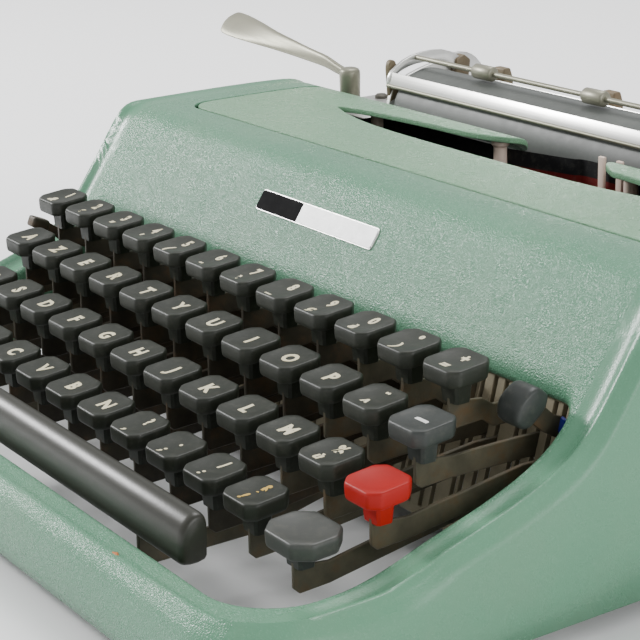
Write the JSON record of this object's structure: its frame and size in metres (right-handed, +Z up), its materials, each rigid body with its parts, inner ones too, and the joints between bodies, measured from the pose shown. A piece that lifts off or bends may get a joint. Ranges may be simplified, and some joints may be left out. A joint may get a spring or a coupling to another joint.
{
  "type": "portable typewriter",
  "caption": "Portable manual typewriter with a low enamelled casing, four rows of keys, lift-off ribbon cover and sliding carriage with platen, paper bail and return lever.",
  "frame": {"origin": "on the table, under the middle of the machine's overall box, carriage and return lever included", "axes": "+X to the typist's right, +Y away from the typist, +Z up"},
  "size_m": [0.3546, 0.3054, 0.0995],
  "materials": {
    "enamel_green": "fine pebbled enamel",
    "enamel_green_cover": "fine pebbled enamel",
    "key_plastic": "satin",
    "bar_plastic": "satin",
    "shift_plastic": "satin",
    "lock_plastic": "satin",
    "backspace_plastic": "satin",
    "tab_red": "gloss",
    "selector_grey": "satin",
    "set_lever_steel": "dull",
    "frame_steel": "dusty plated steel",
    "carriage_metal": "satin",
    "platen_rubber": "matte",
    "return_lever_metal": "satin",
    "bail_steel": "polished",
    "spool_steel": "satin",
    "spool_steel_right": "satin"
  },
  "bodies": {
    "machine": {"body_shell": "enamel_green", "mechanism_frame": "frame_steel"},
    "cover": {"ribbon_cover": "enamel_green_cover"},
    "left_spool": {"left_spool": "spool_steel"},
    "right_spool": {"right_spool": "spool_steel_right"},
    "carriage": {"carriage_frame": "carriage_metal"},
    "platen": {"platen": "platen_rubber"},
    "return_lever": {"return_lever": "return_lever_metal"},
    "paper_bail": {"paper_bail": "bail_steel"},
    "ribbon_selector": {"ribbon_selector": "selector_grey"},
    "tab_set_lever": {"tab_set_lever": "set_lever_steel"},
    "space_bar": {"space_bar": "bar_plastic"},
    "shift_keys": {"shift_keys": "shift_plastic"},
    "shift_lock_key": {"shift_lock_key": "lock_plastic"},
    "backspace_key": {"backspace_key": "backspace_plastic"},
    "tab_key": {"tab_key": "tab_red"},
    "key_w": {"key_w": "key_plastic"},
    "key_x": {"key_x": "key_plastic"},
    "key_c": {"key_c": "key_plastic"},
    "key_v": {"key_v": "key_plastic"},
    "key_b": {"key_b": "key_plastic"},
    "key_n": {"key_n": "key_plastic"},
    "key_comma": {"key_comma": "key_plastic"},
    "key_semicolon": {"key_semicolon": "key_plastic"},
    "key_colon": {"key_colon": "key_plastic"},
    "key_exclamation": {"key_exclamation": "key_plastic"},
    "key_q": {"key_q": "key_plastic"},
    "key_s": {"key_s": "key_plastic"},
    "key_d": {"key_d": "key_plastic"},
    "key_f": {"key_f": "key_plastic"},
    "key_g": {"key_g": "key_plastic"},
    "key_h": {"key_h": "key_plastic"},
    "key_j": {"key_j": "key_plastic"},
    "key_k": {"key_k": "key_plastic"},
    "key_l": {"key_l": "key_plastic"},
    "key_m": {"key_m": "key_plastic"},
    "key_u_grave": {"key_u_grave": "key_plastic"},
    "key_a": {"key_a": "key_plastic"},
    "key_z": {"key_z": "key_plastic"},
    "key_e": {"key_e": "key_plastic"},
    "key_r": {"key_r": "key_plastic"},
    "key_t": {"key_t": "key_plastic"},
    "key_y": {"key_y": "key_plastic"},
    "key_u": {"key_u": "key_plastic"},
    "key_i": {"key_i": "key_plastic"},
    "key_o": {"key_o": "key_plastic"},
    "key_p": {"key_p": "key_plastic"},
    "key_circumflex": {"key_circumflex": "key_plastic"},
    "key_1": {"key_1": "key_plastic"},
    "key_2": {"key_2": "key_plastic"},
    "key_3": {"key_3": "key_plastic"},
    "key_4": {"key_4": "key_plastic"},
    "key_5": {"key_5": "key_plastic"},
    "key_6": {"key_6": "key_plastic"},
    "key_7": {"key_7": "key_plastic"},
    "key_8": {"key_8": "key_plastic"},
    "key_9": {"key_9": "key_plastic"},
    "key_0": {"key_0": "key_plastic"},
    "key_degree": {"key_degree": "key_plastic"},
    "key_equals": {"key_equals": "key_plastic"}
  },
  "joints": [
    {"name": "carriage_slide", "type": "slide", "parent": "machine", "child": "carriage", "axis": [1, 0, 0], "range_m": [-0.09, 0.09]},
    {"name": "cover_lift", "type": "slide", "parent": "machine", "child": "cover", "axis": [0, 0, 1], "range_m": [0, 0.045]},
    {"name": "platen_turn", "type": "hinge", "parent": "carriage", "child": "platen", "pos_m": [0.0293, 0.0751, 0.0765], "axis": [1, 0, 0], "continuous": true},
    {"name": "bail_swing", "type": "hinge", "parent": "carriage", "child": "paper_bail", "pos_m": [0.0293, 0.0951, 0.084], "axis": [-1, 0, 0], "range_deg": [0, 42]},
    {"name": "line_lever_throw", "type": "hinge", "parent": "carriage", "child": "return_lever", "pos_m": [-0.0945, 0.0635, 0.076], "axis": [0, 0, 1], "range_deg": [0, 45], "stiffness_Nm_per_rad": 0.12, "springref_deg": -8.59},
    {"name": "left_spool_turn", "type": "hinge", "parent": "machine", "child": "left_spool", "pos_m": [-0.0687, 0.0121, 0.07], "axis": [0, 0, 1], "continuous": true},
    {"name": "right_spool_turn", "type": "hinge", "parent": "machine", "child": "right_spool", "pos_m": [0.1273, 0.0121, 0.07], "axis": [0, 0, 1], "continuous": true},
    {"name": "ribbon_select", "type": "hinge", "parent": "machine", "child": "ribbon_selector", "pos_m": [0.1478, -0.0229, 0.042], "axis": [1, 0, 0], "range_deg": [-6, 6]},
    {"name": "tab_set_tilt", "type": "hinge", "parent": "machine", "child": "tab_set_lever", "pos_m": [-0.0892, -0.0229, 0.041], "axis": [1, 0, 0], "range_deg": [0, 9], "stiffness_Nm_per_rad": 0.15, "springref_deg": -2.86},
    {"name": "space_press", "type": "hinge", "parent": "machine", "child": "space_bar", "pos_m": [0.0293, 0.0611, 0.024], "axis": [1, 0, 0], "range_deg": [0, 3.2], "stiffness_Nm_per_rad": 1.2, "springref_deg": -6.88},
    {"name": "shift_press", "type": "hinge", "parent": "machine", "child": "shift_keys", "pos_m": [0.0293, 0.0611, 0.024], "axis": [1, 0, 0], "range_deg": [0, 3.5], "stiffness_Nm_per_rad": 1.2, "springref_deg": -4.58},
    {"name": "shift_lock_press", "type": "hinge", "parent": "machine", "child": "shift_lock_key", "pos_m": [-0.0837, 0.0611, 0.024], "axis": [1, 0, 0], "range_deg": [0, 3.5], "stiffness_Nm_per_rad": 0.3, "springref_deg": -4.01},
    {"name": "back_press", "type": "hinge", "parent": "machine", "child": "backspace_key", "pos_m": [0.14005, 0.0611, 0.024], "axis": [1, 0, 0], "range_deg": [0, 3.5], "stiffness_Nm_per_rad": 0.3, "springref_deg": -4.01},
    {"name": "tab_press", "type": "hinge", "parent": "machine", "child": "tab_key", "pos_m": [0.1443, 0.0611, 0.024], "axis": [1, 0, 0], "range_deg": [0, 3.5], "stiffness_Nm_per_rad": 0.3, "springref_deg": -4.01},
    {"name": "type_w", "type": "hinge", "parent": "machine", "child": "key_w", "pos_m": [-0.0547, 0.0611, 0.024], "axis": [1, 0, 0], "range_deg": [0, 3.5], "stiffness_Nm_per_rad": 0.3, "springref_deg": -4.01},
    {"name": "type_x", "type": "hinge", "parent": "machine", "child": "key_x", "pos_m": [-0.0357, 0.0611, 0.024], "axis": [1, 0, 0], "range_deg": [0, 3.5], "stiffness_Nm_per_rad": 0.3, "springref_deg": -4.01},
    {"name": "type_c", "type": "hinge", "parent": "machine", "child": "key_c", "pos_m": [-0.0167, 0.0611, 0.024], "axis": [1, 0, 0], "range_deg": [0, 3.5], "stiffness_Nm_per_rad": 0.3, "springref_deg": -4.01},
    {"name": "type_v", "type": "hinge", "parent": "machine", "child": "key_v", "pos_m": [0.0023, 0.0611, 0.024], "axis": [1, 0, 0], "range_deg": [0, 3.5], "stiffness_Nm_per_rad": 0.3, "springref_deg": -4.01},
    {"name": "type_b", "type": "hinge", "parent": "machine", "child": "key_b", "pos_m": [0.0213, 0.0611, 0.024], "axis": [1, 0, 0], "range_deg": [0, 3.5], "stiffness_Nm_per_rad": 0.3, "springref_deg": -4.01},
    {"name": "type_n", "type": "hinge", "parent": "machine", "child": "key_n", "pos_m": [0.0403, 0.0611, 0.024], "axis": [1, 0, 0], "range_deg": [0, 3.5], "stiffness_Nm_per_rad": 0.3, "springref_deg": -4.01},
    {"name": "type_comma", "type": "hinge", "parent": "machine", "child": "key_comma", "pos_m": [0.0593, 0.0611, 0.024], "axis": [1, 0, 0], "range_deg": [0, 3.5], "stiffness_Nm_per_rad": 0.3, "springref_deg": -4.01},
    {"name": "type_semicolon", "type": "hinge", "parent": "machine", "child": "key_semicolon", "pos_m": [0.0783, 0.0611, 0.024], "axis": [1, 0, 0], "range_deg": [0, 3.5], "stiffness_Nm_per_rad": 0.3, "springref_deg": -4.01},
    {"name": "type_colon", "type": "hinge", "parent": "machine", "child": "key_colon", "pos_m": [0.0973, 0.0611, 0.024], "axis": [1, 0, 0], "range_deg": [0, 3.5], "stiffness_Nm_per_rad": 0.3, "springref_deg": -4.01},
    {"name": "type_exclamation", "type": "hinge", "parent": "machine", "child": "key_exclamation", "pos_m": [0.1163, 0.0611, 0.024], "axis": [1, 0, 0], "range_deg": [0, 3.5], "stiffness_Nm_per_rad": 0.3, "springref_deg": -4.01},
    {"name": "type_q", "type": "hinge", "parent": "machine", "child": "key_q", "pos_m": [-0.0647, 0.0611, 0.024], "axis": [1, 0, 0], "range_deg": [0, 3.5], "stiffness_Nm_per_rad": 0.3, "springref_deg": -4.01},
    {"name": "type_s", "type": "hinge", "parent": "machine", "child": "key_s", "pos_m": [-0.0457, 0.0611, 0.024], "axis": [1, 0, 0], "range_deg": [0, 3.5], "stiffness_Nm_per_rad": 0.3, "springref_deg": -4.01},
    {"name": "type_d", "type": "hinge", "parent": "machine", "child": "key_d", "pos_m": [-0.0267, 0.0611, 0.024], "axis": [1, 0, 0], "range_deg": [0, 3.5], "stiffness_Nm_per_rad": 0.3, "springref_deg": -4.01},
    {"name": "type_f", "type": "hinge", "parent": "machine", "child": "key_f", "pos_m": [-0.0077, 0.0611, 0.024], "axis": [1, 0, 0], "range_deg": [0, 3.5], "stiffness_Nm_per_rad": 0.3, "springref_deg": -4.01},
    {"name": "type_g", "type": "hinge", "parent": "machine", "child": "key_g", "pos_m": [0.0113, 0.0611, 0.024], "axis": [1, 0, 0], "range_deg": [0, 3.5], "stiffness_Nm_per_rad": 0.3, "springref_deg": -4.01},
    {"name": "type_h", "type": "hinge", "parent": "machine", "child": "key_h", "pos_m": [0.0303, 0.0611, 0.024], "axis": [1, 0, 0], "range_deg": [0, 3.5], "stiffness_Nm_per_rad": 0.3, "springref_deg": -4.01},
    {"name": "type_j", "type": "hinge", "parent": "machine", "child": "key_j", "pos_m": [0.0493, 0.0611, 0.024], "axis": [1, 0, 0], "range_deg": [0, 3.5], "stiffness_Nm_per_rad": 0.3, "springref_deg": -4.01},
    {"name": "type_k", "type": "hinge", "parent": "machine", "child": "key_k", "pos_m": [0.0683, 0.0611, 0.024], "axis": [1, 0, 0], "range_deg": [0, 3.5], "stiffness_Nm_per_rad": 0.3, "springref_deg": -4.01},
    {"name": "type_l", "type": "hinge", "parent": "machine", "child": "key_l", "pos_m": [0.0873, 0.0611, 0.024], "axis": [1, 0, 0], "range_deg": [0, 3.5], "stiffness_Nm_per_rad": 0.3, "springref_deg": -4.01},
    {"name": "type_m", "type": "hinge", "parent": "machine", "child": "key_m", "pos_m": [0.1063, 0.0611, 0.024], "axis": [1, 0, 0], "range_deg": [0, 3.5], "stiffness_Nm_per_rad": 0.3, "springref_deg": -4.01},
    {"name": "type_u_grave", "type": "hinge", "parent": "machine", "child": "key_u_grave", "pos_m": [0.1253, 0.0611, 0.024], "axis": [1, 0, 0], "range_deg": [0, 3.5], "stiffness_Nm_per_rad": 0.3, "springref_deg": -4.01},
    {"name": "type_a", "type": "hinge", "parent": "machine", "child": "key_a", "pos_m": [-0.06895, 0.0611, 0.024], "axis": [1, 0, 0], "range_deg": [0, 3.5], "stiffness_Nm_per_rad": 0.3, "springref_deg": -4.01},
    {"name": "type_z", "type": "hinge", "parent": "machine", "child": "key_z", "pos_m": [-0.04995, 0.0611, 0.024], "axis": [1, 0, 0], "range_deg": [0, 3.5], "stiffness_Nm_per_rad": 0.3, "springref_deg": -4.01},
    {"name": "type_e", "type": "hinge", "parent": "machine", "child": "key_e", "pos_m": [-0.03095, 0.0611, 0.024], "axis": [1, 0, 0], "range_deg": [0, 3.5], "stiffness_Nm_per_rad": 0.3, "springref_deg": -4.01},
    {"name": "type_r", "type": "hinge", "parent": "machine", "child": "key_r", "pos_m": [-0.01195, 0.0611, 0.024], "axis": [1, 0, 0], "range_deg": [0, 3.5], "stiffness_Nm_per_rad": 0.3, "springref_deg": -4.01},
    {"name": "type_t", "type": "hinge", "parent": "machine", "child": "key_t", "pos_m": [0.00705, 0.0611, 0.024], "axis": [1, 0, 0], "range_deg": [0, 3.5], "stiffness_Nm_per_rad": 0.3, "springref_deg": -4.01},
    {"name": "type_y", "type": "hinge", "parent": "machine", "child": "key_y", "pos_m": [0.02605, 0.0611, 0.024], "axis": [1, 0, 0], "range_deg": [0, 3.5], "stiffness_Nm_per_rad": 0.3, "springref_deg": -4.01},
    {"name": "type_u", "type": "hinge", "parent": "machine", "child": "key_u", "pos_m": [0.04505, 0.0611, 0.024], "axis": [1, 0, 0], "range_deg": [0, 3.5], "stiffness_Nm_per_rad": 0.3, "springref_deg": -4.01},
    {"name": "type_i", "type": "hinge", "parent": "machine", "child": "key_i", "pos_m": [0.06405, 0.0611, 0.024], "axis": [1, 0, 0], "range_deg": [0, 3.5], "stiffness_Nm_per_rad": 0.3, "springref_deg": -4.01},
    {"name": "type_o", "type": "hinge", "parent": "machine", "child": "key_o", "pos_m": [0.08305, 0.0611, 0.024], "axis": [1, 0, 0], "range_deg": [0, 3.5], "stiffness_Nm_per_rad": 0.3, "springref_deg": -4.01},
    {"name": "type_p", "type": "hinge", "parent": "machine", "child": "key_p", "pos_m": [0.10205, 0.0611, 0.024], "axis": [1, 0, 0], "range_deg": [0, 3.5], "stiffness_Nm_per_rad": 0.3, "springref_deg": -4.01},
    {"name": "type_circumflex", "type": "hinge", "parent": "machine", "child": "key_circumflex", "pos_m": [0.12105, 0.0611, 0.024], "axis": [1, 0, 0], "range_deg": [0, 3.5], "stiffness_Nm_per_rad": 0.3, "springref_deg": -4.01},
    {"name": "type_1", "type": "hinge", "parent": "machine", "child": "key_1", "pos_m": [-0.0765, 0.0611, 0.024], "axis": [1, 0, 0], "range_deg": [0, 3.5], "stiffness_Nm_per_rad": 0.3, "springref_deg": -4.01},
    {"name": "type_2", "type": "hinge", "parent": "machine", "child": "key_2", "pos_m": [-0.0575, 0.0611, 0.024], "axis": [1, 0, 0], "range_deg": [0, 3.5], "stiffness_Nm_per_rad": 0.3, "springref_deg": -4.01},
    {"name": "type_3", "type": "hinge", "parent": "machine", "child": "key_3", "pos_m": [-0.0385, 0.0611, 0.024], "axis": [1, 0, 0], "range_deg": [0, 3.5], "stiffness_Nm_per_rad": 0.3, "springref_deg": -4.01},
    {"name": "type_4", "type": "hinge", "parent": "machine", "child": "key_4", "pos_m": [-0.0195, 0.0611, 0.024], "axis": [1, 0, 0], "range_deg": [0, 3.5], "stiffness_Nm_per_rad": 0.3, "springref_deg": -4.01},
    {"name": "type_5", "type": "hinge", "parent": "machine", "child": "key_5", "pos_m": [-0.0005, 0.0611, 0.024], "axis": [1, 0, 0], "range_deg": [0, 3.5], "stiffness_Nm_per_rad": 0.3, "springref_deg": -4.01},
    {"name": "type_6", "type": "hinge", "parent": "machine", "child": "key_6", "pos_m": [0.0185, 0.0611, 0.024], "axis": [1, 0, 0], "range_deg": [0, 3.5], "stiffness_Nm_per_rad": 0.3, "springref_deg": -4.01},
    {"name": "type_7", "type": "hinge", "parent": "machine", "child": "key_7", "pos_m": [0.0375, 0.0611, 0.024], "axis": [1, 0, 0], "range_deg": [0, 3.5], "stiffness_Nm_per_rad": 0.3, "springref_deg": -4.01},
    {"name": "type_8", "type": "hinge", "parent": "machine", "child": "key_8", "pos_m": [0.0565, 0.0611, 0.024], "axis": [1, 0, 0], "range_deg": [0, 3.5], "stiffness_Nm_per_rad": 0.3, "springref_deg": -4.01},
    {"name": "type_9", "type": "hinge", "parent": "machine", "child": "key_9", "pos_m": [0.0755, 0.0611, 0.024], "axis": [1, 0, 0], "range_deg": [0, 3.5], "stiffness_Nm_per_rad": 0.3, "springref_deg": -4.01},
    {"name": "type_0", "type": "hinge", "parent": "machine", "child": "key_0", "pos_m": [0.0945, 0.0611, 0.024], "axis": [1, 0, 0], "range_deg": [0, 3.5], "stiffness_Nm_per_rad": 0.3, "springref_deg": -4.01},
    {"name": "type_degree", "type": "hinge", "parent": "machine", "child": "key_degree", "pos_m": [0.1135, 0.0611, 0.024], "axis": [1, 0, 0], "range_deg": [0, 3.5], "stiffness_Nm_per_rad": 0.3, "springref_deg": -4.01},
    {"name": "type_equals", "type": "hinge", "parent": "machine", "child": "key_equals", "pos_m": [0.1325, 0.0611, 0.024], "axis": [1, 0, 0], "range_deg": [0, 3.5], "stiffness_Nm_per_rad": 0.3, "springref_deg": -4.01}
  ],
  "couplings": [
    {"joint": "right_spool_turn", "follows": "left_spool_turn", "ratio": 1},
    {"joint": "shift_lock_press", "follows": "shift_press", "ratio": 1}
  ]
}
